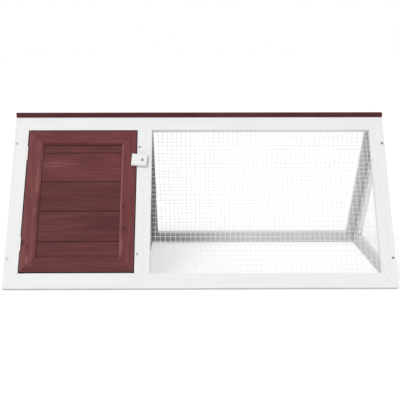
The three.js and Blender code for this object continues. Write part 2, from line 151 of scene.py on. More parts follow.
# Hinges
HINGE_X = 0.0375
HINGE_OUT = 0.0020
HINGE_LENGTH = 0.036
HINGE_CENTRES = {"lower": 0.114, "upper": 0.362}
DOOR_LEFT = 0.039
LEAF_THICK = 0.0008
LEAF_WIDTH = 0.011
BARREL_RADIUS = 0.0018
BARREL_BORE = 0.0010
BARREL_SOFT = 0.00025
BARREL_SIDES = 32
LEAF_TOP = HINGE_OUT - BARREL_RADIUS - GAP
KNUCKLE_ROOT_TOP = HINGE_OUT - BARREL_BORE - 0.6 * LEAF_THICK
PIN_RADIUS = 0.0007
PIN_HEAD = 0.0016
PIN_HEAD_HIGH = 0.0011
PIN_SIDES = 28
LEAF_SCREWS = (0.22, 0.78)
LEAF_SCREW_IN = 0.55
LEAF_SCREW_SIDES = 20
LEAF_SCREW_PROFILE = [
    (0, -0.0004), (0.0016, -0.0004), (0.0019, 0.00004), (0.0012, 0.00008), (0.0006, -0.0002), (0, -0.0003),
]

# Pins of the back boards, in the back panel's frame
BACK_BOARDS = 5
BACK_BOARDS_LOW = 0.027
BACK_BOARD_PITCH = 0.083
BOARD_PIN_SHARES = (0.25, 0.75)
BOARD_PIN_COLUMNS = (0.6390, 0.9465)
BOARD_PIN_SIDES = 12
BOARD_PIN_PROFILE = [(0, -0.0006), (0.0009, -0.0006), (0.0009, 0.0001), (0.0006, 0.00022), (0, 0.00025)]

# Camera: where it stands, its turns in degrees and its lens in millimetres
CAMERA_AT = (-0.0134, -2.0355, 0.5748)
CAMERA_TURN = -0.406
CAMERA_DOWN = 10.99
CAMERA_ROLL = -0.056
CAMERA_LENS = 67.88

# Sky: its strength is 1 at the height of the object and OVERHEAD straight up, and high up on the right it
# is down to RIGHT_SIDE of that. Each pair is the span, along one axis of a direction, in which it changes.
OVERHEAD = 0.74
OVERHEAD_RISE = (0.20, 0.90)
RIGHT_SIDE = 0.30
RIGHT_TURN = (0.30, 0.95)
RIGHT_RISE = (0.08, 0.30)

# Key light and floor
KEY_FROM = (-1.5, -2.9, 3.0)
KEY_SPREAD = 24
KEY_STRENGTH = 1.27
FLOOR_GLOW = 0.50
FLOOR_HALF = 80.0
FLOOR_SQUARES = 8
FLOOR_TONES = ((0.535, 0.535, 0.533, 1), (0.550, 0.550, 0.547, 1))

SIN = math.sin(SLOPE)
COS = math.cos(SLOPE)
ALONG = Vector((1, 0, 0))
ACROSS = Vector((0, 1, 0))
UPRIGHT = Vector((0, 0, 1))
UP_SLOPE = {"front": Vector((0, COS, SIN)), "back": Vector((0, -COS, SIN))}
OUT_SLOPE = {"front": Vector((0, -SIN, COS)), "back": Vector((0, SIN, COS))}

# White paint
WHITE_LIGHT = (0.700, 0.703, 0.705, 1)
WHITE_SHADE = (0.672, 0.674, 0.675, 1)
WHITE_WARM = (0.672, 0.668, 0.655, 1)
WHITE_GRAIN = (0.610, 0.614, 0.614, 1)
WHITE_KNOT = (0.470, 0.450, 0.400, 1)
WHITE_WORN = (0.560, 0.545, 0.510, 1)
# Painted shade: the dark colour laid into gaps and corners and over inner faces
WHITE_PAINTED_SHADE = (0.120, 0.110, 0.105, 1)

# Painted shade inside: the partition's darker tone, and how much of the brightness is taken off the frames'
# inner faces, in general and beside the doorway, with the places along X between which that changes
PARTITION_SHADE_TONE = 0.48
INNER_PAINTED_SHADE = 0.20
DOORWAY_PAINTED_SHADE = 0.75
DOORWAY_SHADE_START = -0.16
DOORWAY_SHADE_END = 0.14

# Red-brown stain: its light, middle, dark and pale parts
STAIN = ((0.175, 0.043, 0.047), (0.135, 0.032, 0.036), (0.085, 0.020, 0.024), (0.290, 0.105, 0.105))
# The dark of knots, also laid as painted shade in corners and on bevels that face down
STAIN_KNOT_AND_SHADE = (0.030, 0.010, 0.010, 1)
# Worn stain on the arrises, also laid as a painted highlight on faces that face left
STAIN_WORN_AND_LIT = (0.260, 0.100, 0.095, 1)

# Stain on each piece: (tone, how far it has faded towards grey, share of pale streaks)
OTHER_STAIN = (0.90, 0.04, 0.30)
STAINS = {
    "door_board_1": (0.73, 0.15, 0.15),
    "door_board_2": (0.69, 0.13, 0.15),
    "door_board_3": (0.61, 0.08, 0.15),
    "door_board_4": (0.84, 0.08, 0.25),
    "door_board_5": (0.74, 0.14, 0.15),
    "door_top_rail": (0.85, 0.03, 0.25),
    "door_bottom_rail": (0.78, 0.08, 0.20),
    "door_left_stile": (1.02, 0.20, 0.90),
    "door_right_stile": (0.87, 0.08, 0.35),
    "ridge_cap": (0.50, 0.08, 0.10),
}

# Figure of the wood, in the coordinates of grain_space: growth bands, fibres and blotches, each as (the
# shares of its scale that are kept along the grain, across it and inwards, the scale per metre)
FIGURE = [((0.05, 1.0, 0.6), 85.0), ((0.03, 1.0, 1.0), 520.0), ((0.25, 1.0, 1.0), 22.0)]
GRAIN_DRIFT = 0.035
SEED_STEP = Vector((0.37, 0.61, 0.23))

# Scattered knots: their number per metre, how much of that is kept along the grain, and their radius
KNOT_SCALE = 5.5
KNOT_STRETCH = 0.6
KNOT_RADIUS = 0.0042

# Further knots, in the front panel's frame: (along, up the slope, radius)
KNOTS = {
    "door_left_stile": [(0.0430, 0.118, 0.0038), (0.0560, 0.107, 0.0022)],
    "door_right_stile": [(0.2960, 0.153, 0.0032), (0.2930, 0.214, 0.0022)],
    "door_board_3": [(0.1700, 0.223, 0.0016)],
    "front_right_stile": [(0.9620, 0.062, 0.0040)],
    "front_bottom_rail": [(0.9560, 0.018, 0.0045), (0.3500, 0.021, 0.0035)],
}

# Places where the stain has rubbed thin along the grain, in the front panel's frame: (along, up the slope,
# length, width)
RUBBED = {
    "door_left_stile": [
        (0.0700, 0.285, 0.110, 0.0070),
        (0.0660, 0.200, 0.060, 0.0060),
        (0.0560, 0.075, 0.030, 0.0060),
        (0.0760, 0.345, 0.180, 0.0024),
    ],
    "door_right_stile": [(0.2865, 0.300, 0.260, 0.0028), (0.2920, 0.110, 0.070, 0.0050)],
    "door_bottom_rail": [(0.0620, 0.060, 0.030, 0.0060)],
    "door_board_4": [(0.1200, 0.335, 0.130, 0.0180)],
}


def slope_matrix(side):
    """From a sloping panel's frame to the model's frame."""
    lifted = Matrix.Translation((-LENGTH / 2, -DEPTH / 2, BATTEN * COS))
    tilted = lifted @ Matrix.Rotation(SLOPE, 4, "X")
    return tilted if side == "front" else Matrix.Rotation(math.pi, 4, "Z") @ tilted


def wall_matrix(x):
    """From an upright frame's plane, X across towards the back, Y up and Z along, to the model's frame."""
    return Matrix(((0, 0, 1, x), (1, 0, 0, 0), (0, 1, 0, 0), (0, 0, 0, 1)))


def on_side(side, x):
    """X in one panel's frame from X in the front panel's, for parts that lie across from each other."""
    return x if side == "front" else LENGTH - x


def half_width(z, depth):
    """Half of the width between the slopes at a height, measured at a depth below their outer faces."""
    return DEPTH / 2 - (z - BATTEN * COS) / math.tan(SLOPE) - depth / SIN


# Materials


class Nodes:
    """A material's node tree, with short calls to add and join nodes."""

    # The mix node's sockets for colours
    MIX_SHARE = 0
    MIX_FIRST = 6
    MIX_SECOND = 7
    MIX_RESULT = 2

    # Cosines between which arrises and turned faces fade in, the share of open surroundings below which
    # gaps do, and the rays used for arrises and gaps
    EDGE_FADE = (0.995, 0.86)
    FACING_FADE = (0.25, 0.45)
    OPEN_SHARE = 0.85
    EDGE_RAYS = 6
    GAP_RAYS = 8

    def __init__(self, name):
        self.material = bpy.data.materials.new(name)
        self.material.use_nodes = True
        self.tree = self.material.node_tree
        self.shader = self.tree.nodes["Principled BSDF"]

    def add(self, kind, inputs=(), **settings):
        made = self.tree.nodes.new(kind)
        for key, value in settings.items():
            setattr(made, key, value)
        for socket, value in dict(inputs).items():
            self.put(made.inputs[socket], value)
        return made

    def put(self, socket, value):
        if isinstance(value, bpy.types.NodeSocket):
            self.tree.links.new(value, socket)
        else:
            socket.default_value = value

    def paint(self, values):
        """Sets or joins inputs of the surface."""
        for socket, value in values.items():
            self.put(self.shader.inputs[socket], value)

    def place(self):
        """A point of the surface in the model's frame, at rest."""
        return self.add("ShaderNodeTexCoord").outputs["Object"]

    def math(self, operation, *values):
        made = self.tree.nodes.new("ShaderNodeMath")
        made.operation = operation
        for socket, value in zip(made.inputs, values):
            self.put(socket, value)
        return made.outputs[0]

    def vector(self, operation, *values):
        made = self.tree.nodes.new("ShaderNodeVectorMath")
        made.operation = operation
        for socket, value in zip(made.inputs, values):
            self.put(socket, value)
        return made.outputs["Value" if operation in ("DOT_PRODUCT", "LENGTH") else "Vector"]

    def noise(self, where, scale, detail=2.0, rough=0.5):
        inputs = {"Vector": where, "Scale": scale, "Detail": detail, "Roughness": rough}
        return self.add("ShaderNodeTexNoise", inputs).outputs["Fac"]

    def between(self, value, low, high):
        """The value rescaled so that low gives 0 and high gives 1, smoothly and kept inside that range."""
        inputs = {"Value": value, "From Min": low, "From Max": high}
        return self.add("ShaderNodeMapRange", inputs, interpolation_type="SMOOTHSTEP").outputs["Result"]

    def mix(self, share, first, second):
        made = self.tree.nodes.new("ShaderNodeMix")
        made.data_type = "RGBA"
        self.put(made.inputs[self.MIX_SHARE], share)
        self.put(made.inputs[self.MIX_FIRST], first)
        self.put(made.inputs[self.MIX_SECOND], second)
        return made.outputs[self.MIX_RESULT]

    def layer(self, under, mask, share, over):
        """A colour laid over another where the mask is 1, at the given share of its full strength."""
        return self.mix(self.math("MULTIPLY", mask, share), under, over)

    def bump(self, height, distance, strength):
        inputs = {"Height": height, "Distance": distance, "Strength": strength}
        return self.add("ShaderNodeBump", inputs).outputs["Normal"]

    def edges(self, radius):
        """1 on the arrises and 0 on the flats."""
        soft = self.add("ShaderNodeBevel", {"Radius": radius}, samples=self.EDGE_RAYS).outputs["Normal"]
        flat = self.add("ShaderNodeNewGeometry").outputs["Normal"]
        return self.between(self.vector("DOT_PRODUCT", soft, flat), *self.EDGE_FADE)

    def facing(self, direction):
        """1 on faces turned towards a direction of the model's frame, at rest, and 0 on the others."""
        normal = self.add("ShaderNodeTexCoord").outputs["Normal"]
        return self.between(self.vector("DOT_PRODUCT", normal, direction), *self.FACING_FADE)

    def corners(self, reach, full):
        """1 where no more than the full share of the surroundings is open, and 0 on open faces."""
        around = self.add("ShaderNodeAmbientOcclusion", {"Distance": reach}, samples=self.GAP_RAYS)
        return self.between(around.outputs["AO"], self.OPEN_SHARE, full)


def grey(value, warm=0.0):
    return (value, value * (1 - warm), value * (1 - 2 * warm), 1)


def toned(colour, tone):
    return [tone * part for part in colour[:3]] + [1]


def grain_space(n, along, out, seed):
    """The model's frame turned so that X follows the grain and Z leaves the face, shifted by the seed."""
    where = n.place()
    parts = [n.vector("DOT_PRODUCT", where, axis) for axis in (along, out.cross(along), out)]
    turned = n.add("ShaderNodeCombineXYZ", dict(zip("XYZ", parts))).outputs["Vector"]
    return n.vector("ADD", turned, SEED_STEP * seed)


def on_grain(spot, along, out, seed):
    """A point of the model's frame in the coordinates of grain_space, on the face."""
    return Vector((spot.dot(along), spot.dot(out.cross(along)), 0)) + SEED_STEP * seed


def knot_marks(n, place, centre, radius):
    """(darkness of a knot, how far it pushes the grain aside), with ramps that count in its radii."""
    apart = n.vector("SUBTRACT", place, centre)
    ragged = n.math("MULTIPLY", n.math("SUBTRACT", n.noise(place, scale=170.0, detail=3.0), 0.5), 2.6)
    round_apart = n.vector("MULTIPLY", apart, (KNOT_STRETCH, 1.0, 0.0))
    distance = n.math("ADD", n.math("DIVIDE", n.vector("LENGTH", round_apart), radius), ragged)
    rim = n.math("MULTIPLY", n.between(distance, 1.5, 1.0), n.between(distance, 0.3, 0.9))
    core = n.math("MAXIMUM", rim, n.math("MULTIPLY", n.between(distance, 1.2, 0.3), 0.65))
    halo = n.math("MULTIPLY", n.between(distance, 4.5, 0.3), 0.72)
    sideways = n.vector("DOT_PRODUCT", apart, (0, 1, 0))
    return core, n.math("MULTIPLY", sideways, halo)


def rubbed_marks(n, place, patches):
    """1 in the middle of the rubbed patches, falling to 0 at their rims."""
    share = 0.0
    for centre, long, wide in patches:
        apart = n.vector("MULTIPLY", n.vector("SUBTRACT", place, centre), (2 / long, 1 / wide, 0.0))
        share = n.math("MAXIMUM", share, n.between(n.vector("LENGTH", apart), 1.0, 0.2))
    return share


def scattered_knots(n, place):
    """The centre of the nearest scattered knot."""
    squeezed = n.vector("MULTIPLY", place, (KNOT_STRETCH, 1.0, 0.0))
    cell = n.add("ShaderNodeTexVoronoi", {"Vector": squeezed, "Scale": KNOT_SCALE}).outputs["Position"]
    return n.vector("DIVIDE", cell, (KNOT_STRETCH * KNOT_SCALE, KNOT_SCALE, 1.0))


def wood_figure(n, along, out, seed, knots):
    """Planed softwood: growth bands that part round the knots, fine fibres, blotches, and the knots."""
    place = grain_space(n, along, out, seed)
    marks = [knot_marks(n, place, scattered_knots(n, place), KNOT_RADIUS)]
    for spot, radius in knots:
        marks.append(knot_marks(n, place, on_grain(spot, along, out, seed), radius))
    core, pushed = marks[0]
    for more_core, more_pushed in marks[1:]:
        core = n.math("MAXIMUM", core, more_core)
        pushed = n.math("ADD", pushed, more_pushed)
    drift = n.math("MULTIPLY", n.noise(place, scale=4.0), GRAIN_DRIFT)
    shift = n.add("ShaderNodeCombineXYZ", {"Y": n.math("SUBTRACT", drift, pushed)}).outputs["Vector"]
    bent = n.vector("ADD", place, shift)
    figure = []
    for stretch, scale in FIGURE:
        figure.append(n.noise(n.vector("MULTIPLY", bent, stretch), scale, detail=3.0, rough=0.6))
    broad, fibres, blotches = figure
    return broad, fibres, blotches, core


def painted_inner_shade(n, out):
    """How much of the paint's brightness is taken off inner faces as painted shade, more of it towards the
    doorway.
    """
    normal = n.add("ShaderNodeNewGeometry").outputs["Normal"]
    inner = n.between(n.vector("DOT_PRODUCT", normal, out), 0.0, -0.5)
    near_doorway = n.between(n.vector("DOT_PRODUCT", n.place(), ALONG), DOORWAY_SHADE_END, DOORWAY_SHADE_START)
    dull = n.math("ADD", INNER_PAINTED_SHADE, n.math("MULTIPLY", near_doorway, DOORWAY_PAINTED_SHADE - INNER_PAINTED_SHADE))
    return n.math("MULTIPLY", inner, dull)


def painted_wood(name, along, out, seed, knots, tone=1.0, shaded_inside=False):
    """White water-based paint on planed fir: the grain shows through, knots bleed a little yellow, gaps and
    corners get painted shade, and inner faces can get painted shade too.
    """
    n = Nodes(name)
    broad, fibres, blotches, knot = wood_figure(n, along, out, seed, knots)
    colour = n.mix(n.between(broad, 0.35, 0.70), toned(WHITE_LIGHT, tone), toned(WHITE_SHADE, tone))
    colour = n.layer(colour, n.between(blotches, 0.48, 0.75), share=0.50, over=WHITE_WARM)
    colour = n.layer(colour, n.between(fibres, 0.55, 0.80), share=0.35, over=WHITE_GRAIN)
    colour = n.layer(colour, knot, share=0.16, over=WHITE_KNOT)
    colour = n.layer(colour, n.edges(radius=0.0012), share=0.18, over=WHITE_WORN)
    # Painted shade in gaps and corners, where little of the surroundings is open
    colour = n.layer(colour, n.corners(reach=0.005, full=0.15), share=0.60, over=WHITE_PAINTED_SHADE)
    # Painted shade over the inner faces
    if shaded_inside:
        colour = n.mix(painted_inner_shade(n, out), colour, WHITE_PAINTED_SHADE)
    height = n.math("ADD", n.math("MULTIPLY", broad, 0.6), n.math("MULTIPLY", fibres, 0.4))
    n.paint({
        "Base Color": colour,
        "Specular IOR Level": 0.30,
        "Roughness": n.math("ADD", 0.46, n.math("MULTIPLY", blotches, 0.16)),
        "Normal": n.bump(height, distance=0.00035, strength=0.55),
    })
    return n.material


def door_bevel_light_and_shade(n, colour):
    """The door's bevels: painted shade on those that face down and a painted highlight on those that face
    left, as if lit from the upper left.
    """
    colour = n.layer(colour, n.facing(-UP_SLOPE["front"]), share=0.40, over=STAIN_KNOT_AND_SHADE)
    return n.layer(colour, n.facing(-ALONG), share=0.45, over=STAIN_WORN_AND_LIT)


def stained_wood(name, along, out, seed, knots, rubbed, stain):
    """Red-brown stain on planed fir: the grain shows, blotches soak dark or stay pale, arrises wear, and
    gaps and corners get painted shade.
    """
    n = Nodes(name)
    broad, fibres, blotches, knot = wood_figure(n, along, out, seed, knots)
    tone, fade, streaked = stain
    tint = (tone, tone * (1 + fade), tone * (1 + 0.5 * fade))
    light, middle, dark, pale = ([t * part for t, part in zip(tint, colour)] + [1] for colour in STAIN)
    colour = n.mix(n.between(broad, 0.34, 0.66), light, middle)
    colour = n.layer(colour, n.between(fibres, 0.48, 0.72), share=0.60, over=dark)
    colour = n.layer(colour, n.between(blotches, 0.50, 0.72), share=0.60, over=dark)
    streaks = n.math("MULTIPLY", n.between(blotches, 0.44, 0.28), n.between(fibres, 0.58, 0.36))
    colour = n.layer(colour, streaks, share=streaked, over=pale)
    patches = [(on_grain(spot, along, out, seed), long, wide) for spot, long, wide in rubbed]
    worn = rubbed_marks(n, grain_space(n, along, out, seed), patches)
    worn_fibres = n.math("MULTIPLY", worn, n.between(fibres, 0.62, 0.42))
    colour = n.layer(colour, worn_fibres, share=0.55, over=pale)
    colour = n.layer(colour, knot, share=0.70, over=STAIN_KNOT_AND_SHADE)
    colour = n.layer(colour, n.edges(radius=0.0016), share=0.70, over=STAIN_WORN_AND_LIT)
    # Painted shade and highlight on the door's bevels, by which way they face
    if name.startswith("stain_door"):
        colour = door_bevel_light_and_shade(n, colour)
    # Painted shade in gaps and corners, where little of the surroundings is open
    colour = n.layer(colour, n.corners(reach=0.006, full=0.58), share=0.80, over=STAIN_KNOT_AND_SHADE)
    height = n.math("ADD", n.math("MULTIPLY", broad, 0.5), n.math("MULTIPLY", fibres, 0.5))
    n.paint({
        "Base Color": colour,
        "Specular IOR Level": 0.12,
        "Roughness": n.math("ADD", 0.50, n.math("MULTIPLY", blotches, 0.20)),
        "Normal": n.bump(height, distance=0.0005, strength=0.6),
    })
    return n.material


def spangled_zinc(name, base, metallic, rough, spangle):
    """Zinc plate or galvanising: soft spangles in the colour, and a dull film in places."""
    n = Nodes(name)
    where = n.place()
    crystals = n.add("ShaderNodeTexVoronoi", {"Vector": where, "Scale": spangle}).outputs["Color"]
    film = n.noise(where, scale=90.0, detail=3.0)
    colour = n.layer(base, crystals, share=0.25, over=toned(base, 0.92))
    colour = n.layer(colour, n.between(film, 0.45, 0.75), share=0.35, over=toned(base, 0.82))
    n.paint({
        "Base Color": colour,
        "Metallic": metallic,
        "Roughness": n.math("ADD", rough, n.math("MULTIPLY", film, 0.18)),
    })
    return n.material


def pale_floor():
    """The white studio floor, which glows a little so that it meets the white around it."""
    n = Nodes("pale_floor")
    cloud = n.noise(n.place(), scale=3.0)
    n.paint({
        "Base Color": n.mix(cloud, *FLOOR_TONES),
        "Specular IOR Level": 0.2,
        "Roughness": 0.8,
        "Emission Color": (1, 1, 1, 1),
        "Emission Strength": FLOOR_GLOW,
    })
    return n.material


# Timber: the nodes keep their solids, with eased arrises


def grain_of(name):
    """(grain direction, face normal) of a timber node, from its name."""
    for side in ("front", "back"):
        if name.startswith(side):
            if name.endswith("_stile"):
                return UP_SLOPE[side], OUT_SLOPE[side]
            return ALONG, OUT_SLOPE[side]
    if name in ("door_left_stile", "door_right_stile"):
        return UP_SLOPE["front"], OUT_SLOPE["front"]
    if name.startswith("door") or name == "turn_button":
        return ALONG, OUT_SLOPE["front"]
    if name == "ridge_cap":
        return ALONG, UPRIGHT
    if name.endswith("front_rafter"):
        return UP_SLOPE["front"], ALONG
    if name.endswith("back_rafter"):
        return UP_SLOPE["back"], ALONG
    return ACROSS, ALONG


def eased(obj, width):
    """Joins the solid's split corners, dissolves its flat triangles, and rounds its arrises."""
    weld = obj.modifiers.new("weld", "WELD")
    weld.merge_threshold = WELD_REACH
    flat = obj.modifiers.new("flat", "DECIMATE")
    flat.decimate_type = "DISSOLVE"
    flat.angle_limit = FLAT_ANGLE
    bevel = obj.modifiers.new("eased", "BEVEL")
    bevel.width = width
    bevel.segments = 2
    bevel.limit_method = "ANGLE"
    bevel.angle_limit = SHARP_ANGLE
    bevel.harden_normals = False
    for face in obj.data.polygons:
        face.use_smooth = False


def timber_material(name, coat, seed):
    """The paint or stain of one timber node, with its own knots, wear, tone and painted shade."""
    panel = slope_matrix("front")
    along, out = grain_of(name)
    knots = [(panel @ Vector((x, y, 0)), radius) for x, y, radius in KNOTS.get(name, [])]
    if coat == "white_paint":
        # Painted shade: the partition's paint is darkened, and the back and right end frames get it on
        # their inner faces
        tone = PARTITION_SHADE_TONE if name.startswith("partition") else 1.0
        shaded_inside = name.startswith(("back", "right"))
        return painted_wood(f"paint_{name}", along, out, seed, knots, tone, shaded_inside)
    rubbed = [(panel @ Vector((x, y, 0)), long, wide) for x, y, long, wide in RUBBED.get(name, [])]
    return stained_wood(f"stain_{name}", along, out, seed, knots, rubbed, STAINS.get(name, OTHER_STAIN))


def dress_timber():
    coats = {part["node"]: part["material_slot"] for part in frame["record"]["subparts"]}
    timber = [name for name in sorted(frame["nodes"]) if coats[name] in EASED]
    for seed, name in enumerate(timber, start=1):
        obj = frame["nodes"][name]
        obj.data.materials.clear()
        obj.data.materials.append(timber_material(name, coats[name], seed))
        eased(obj, EASED[coats[name]])


# Shapes that the fittings are made from


def new_piece(name, bm, mat, body, replaced=(), smooth=True):
    """A visual piece that rides on a body, in place of the CAD nodes it replaces."""
    data = bpy.data.meshes.new(name)
    bmesh.ops.recalc_face_normals(bm, faces=bm.faces)
    bm.to_mesh(data)
    bm.free()
    data.materials.append(mat)
    for face in data.polygons:
        face.use_smooth = smooth
    obj = bpy.data.objects.new(name, data)
    bpy.context.scene.collection.objects.link(obj)
    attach(obj, body)
    if replaced:
        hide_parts(*replaced)


def circle(radius, sides):
    """(x, y) of the corners of a regular polygon about the origin."""
    turns = [2 * math.pi * k / sides for k in range(sides)]
    return [(radius * math.cos(turn), radius * math.sin(turn)) for turn in turns]


def bridge(bm, low, high):
    """Faces between two closed rings of corners, where a ring of one corner is a point."""
    for k in range(max(len(low), len(high))):
        j = k + 1
        corners = [low[k % len(low)], low[j % len(low)], high[j % len(high)], high[k % len(high)]]
        bm.faces.new(list(dict.fromkeys(corners)))


def add_tube(bm, points, side_of, radius, sides):
    """A closed round bar through the points; side_of is one of its sideways directions."""
    rings = []
    side = side_of.normalized()
    for i, point in enumerate(points):
        ahead = points[min(i + 1, len(points) - 1)] - points[max(i - 1, 0)]
        up = ahead.cross(side).normalized()
        rings.append([bm.verts.new(point + radius * (x * side + y * up)) for x, y in circle(1.0, sides)])
    for low, high in zip(rings, rings[1:]):
        bridge(bm, low, high)
    bm.faces.new(rings[0][::-1])
    bm.faces.new(rings[-1])


def add_turned(bm, profile, matrix, sides):
    """A surface of revolution about Z through (radius, height) pairs, closed where the radius is 0."""
    rings = []
    for radius, height in profile:
        corners = circle(radius, sides) if radius else [(0, 0)]
        rings.append([bm.verts.new(matrix @ Vector((x, y, height))) for x, y in corners])
    for low, high in zip(rings, rings[1:]):
        bridge(bm, low, high)


def add_ring(bm, matrix, section, sides):
    """A ring about Y with a section of (radius, y) pairs."""
    rings = []
    for radius, y in section:
        rings.append([bm.verts.new(matrix @ Vector((x, y, z))) for x, z in circle(radius, sides)])
    for low, high in zip(rings, rings[1:] + rings[:1]):
        bridge(bm, low, high)


def add_prism(bm, outline, low, high, matrix):
    """A block with an outline in X and Y, from one height along Z to another."""
    floor = [bm.verts.new(matrix @ Vector((x, y, low))) for x, y in outline]
    roof = [bm.verts.new(matrix @ Vector((x, y, high))) for x, y in outline]
    bm.faces.new(floor[::-1])
    bm.faces.new(roof)
    bridge(bm, floor, roof)


def add_box(bm, low, high, matrix):
    outline = [(low[0], low[1]), (high[0], low[1]), (high[0], high[1]), (low[0], high[1])]
    add_prism(bm, outline, low[2], high[2], matrix)


# Paint that has run into the joints of the sloping frames


def joint_strips():
    """Outlines of the gaps at the four mitred corners and at both ends of the middle stile."""
    top = (HEIGHT - CAP_THICK - GAP - BATTEN * COS) / SIN
    strips = []
    for end, stile in ((0, LEFT_STILE), (LENGTH, LENGTH - RIGHT_STILE)):
        for at_end, at_opening in ((0, OPENING_LOW), (top - MITRE_GAP, OPENING_HIGH - MITRE_GAP)):
            lower = [(end, at_end), (stile, at_opening)]
            upper = [(stile, at_opening + MITRE_GAP), (end, at_end + MITRE_GAP)]
            strips.append(lower + upper)
    first, last = MIDDLE_STILE
    for low in (OPENING_LOW, OPENING_HIGH - GAP):
        strips.append([(first, low), (last, low), (last, low + GAP), (first, low + GAP)])
    return strips


def joint_paint():
    for side in ("front", "back"):
        bm = bmesh.new()
        for strip in joint_strips():
            outline = [(on_side(side, x), y) for x, y in strip]
            add_prism(bm, outline, GAP - BATTEN, -PAINT_DEPTH, slope_matrix(side))
        mat = painted_wood(f"paint_{side}_joints", ALONG, OUT_SLOPE[side], PAINT_SEED, [])
        new_piece(f"{side}_joint_paint", bm, mat, "hutch", smooth=False)


# Wire mesh


def sides_of(outline):
    """(start, end) of each side of a closed outline."""
    return zip(outline, outline[1:] + outline[:1])


def crossing(outline, axis, value):
    """The lowest and highest place where the line axis = value crosses a convex outline."""
    hits = []
    for start, end in sides_of(outline):
        if (start[axis] - value) * (end[axis] - value) < 0:
            share = (value - start[axis]) / (end[axis] - start[axis])
            hits.append(start[1 - axis] + share * (end[1 - axis] - start[1 - axis]))
    return (min(hits), max(hits)) if len(hits) > 1 else None


def edge_distance(outline, x, y):
    """How far a point lies from the nearest side of an outline."""
    distances = []
    for (x0, y0), (x1, y1) in sides_of(outline):
        length = math.hypot(x1 - x0, y1 - y0)
        distances.append(abs((x1 - x0) * (y - y0) - (y1 - y0) * (x - x0)) / length)
    return min(distances)


def slack(outline, x, y, seed):
    """How far the mesh is pushed across its plane and off it, which dies away towards the stapled edges."""
    free = min(1.0, max(0.0, (edge_distance(outline, x, y) - SLACK_START) / SLACK_RISE))
    broad = Vector((x * SLACK_BROAD, y * SLACK_BROAD, seed))
    fine = Vector((x * SLACK_FINE, y * SLACK_FINE, seed + 9.0))

    def wave(place, layer):
        """Each part of the push reads its own layer of the noise."""
        return noise.noise(place + Vector((0, 0, layer)))

    return free * Vector((
        SLACK_ACROSS * (wave(broad, 0.0) + SLACK_FINE_SHARE * wave(fine, 0.0)),
        SLACK_ACROSS * (wave(broad, 3.7) + SLACK_FINE_SHARE * wave(fine, 5.1)),
        SLACK_OUT * wave(broad, 7.9),
    ))


def wire_values(outline, axis):
    """Places along one axis of the wires that cross it, centred in the outline."""
    values = [point[axis] for point in outline]
    low, high = min(values), max(values)
    count = int((high - low) / MESH_PITCH)
    start = (low + high - count * MESH_PITCH) / 2
    return [start + i * MESH_PITCH for i in range(count + 1)]


def wire_points(outline, axis, value, layer, seed):
    """The path of one wire, or nothing where it would be shorter than the mesh's pitch."""
    span = crossing(outline, axis, value)
    if span is None or span[1] - span[0] < MESH_PITCH:
        return []
    low, high = span
    steps = max(2, round((high - low) / WIRE_STEP))
    points = []
    for k in range(steps + 1):
        other = low + k * (high - low) / steps
        x, y = (value, other) if axis == 0 else (other, value)
        points.append(Vector((x, y, layer)) + slack(outline, x, y, seed))
    return points


def wire_sheet(name, outline, matrix, seed, replaced):
    """Welded mesh in a convex outline: upright wires on one side of its plane, level wires on the other."""
    bm = bmesh.new()
    normal = matrix.to_3x3() @ UPRIGHT
    for axis, way in ((0, 1), (1, -1)):
        layer = MESH_HEIGHT + way * WELDED_SHARE * WIRE_RADIUS
        for value in wire_values(outline, axis):
            points = wire_points(outline, axis, value, layer, seed)
            if points:
                add_tube(bm, [matrix @ point for point in points], normal, WIRE_RADIUS, WIRE_SIDES)
    new_piece(name, bm, WIRE, "hutch", replaced)


def run_meshes():
    for side in ("front", "back"):
        left, right = sorted((on_side(side, MESH_LEFT), on_side(side, MESH_RIGHT)))
        outline = [(left, MESH_LOW), (right, MESH_LOW), (right, MESH_HIGH), (left, MESH_HIGH)]
        panel = slope_matrix(side)
        wire_sheet(f"{side}_mesh_wires", outline, panel, MESH_SEEDS[side], [f"{side}_run_mesh"])


def end_mesh():
    depth = BATTEN + 2 * GAP
    half = half_width(END_MESH_LOW, depth)
    top = (DEPTH / 2 - depth / SIN) * math.tan(SLOPE) + BATTEN * COS - END_MESH_TOP_GAP
    outline = [(-half, END_MESH_LOW), (half, END_MESH_LOW), (0.0, top)]
    wall = wall_matrix(LENGTH / 2)
    wire_sheet("right_end_mesh_wires", outline, wall, MESH_SEEDS["right_end"], ["right_end_mesh"])


# Staples that hold the mesh to the frames


def add_staple(bm, matrix, x, y, turn):
    """A wire staple's crown over the mesh, with its two legs going into the wood."""
    along = Vector((math.cos(turn), math.sin(turn), 0))
    centre = Vector((x, y, STAPLE_HEIGHT))
    ends = [centre - STAPLE_HALF * along, centre + STAPLE_HALF * along]
    legs = [end + STAPLE_LEG * UPRIGHT for end in ends]
    path = [legs[0], ends[0], ends[1], legs[1]]
    side = matrix.to_3x3() @ along.cross(UPRIGHT)
    add_tube(bm, [matrix @ point for point in path], side, STAPLE_WIRE, STAPLE_SIDES)


def staples():
    bm = bmesh.new()
    marks = [(x, y, ROW_TURN) for x in STAPLES_ACROSS for y in STAPLE_ROWS]
    marks += [(x, y, COLUMN_TURN) for x in STAPLE_COLUMNS for y in STAPLES_UP]
    for side in ("front", "back"):
        for i, (x, y, turn) in enumerate(marks):
            sway = STAPLE_SWAY * noise.noise(Vector((i * 1.7, 0.4, 0.2)))
            add_staple(bm, slope_matrix(side), on_side(side, x), y, turn + sway)
    wall = wall_matrix(LENGTH / 2)
    for y in END_STAPLES_ACROSS:
        add_staple(bm, wall, y, END_STAPLE_ROW, ROW_TURN)
    for z in END_STAPLES_UP:
        half = half_width(z, BATTEN + END_STAPLE_IN)
        for y in (-half, half):
            add_staple(bm, wall, y, z, RAFTER_TURN)
    new_piece("mesh_staples", bm, WIRE, "hutch")


# Screws


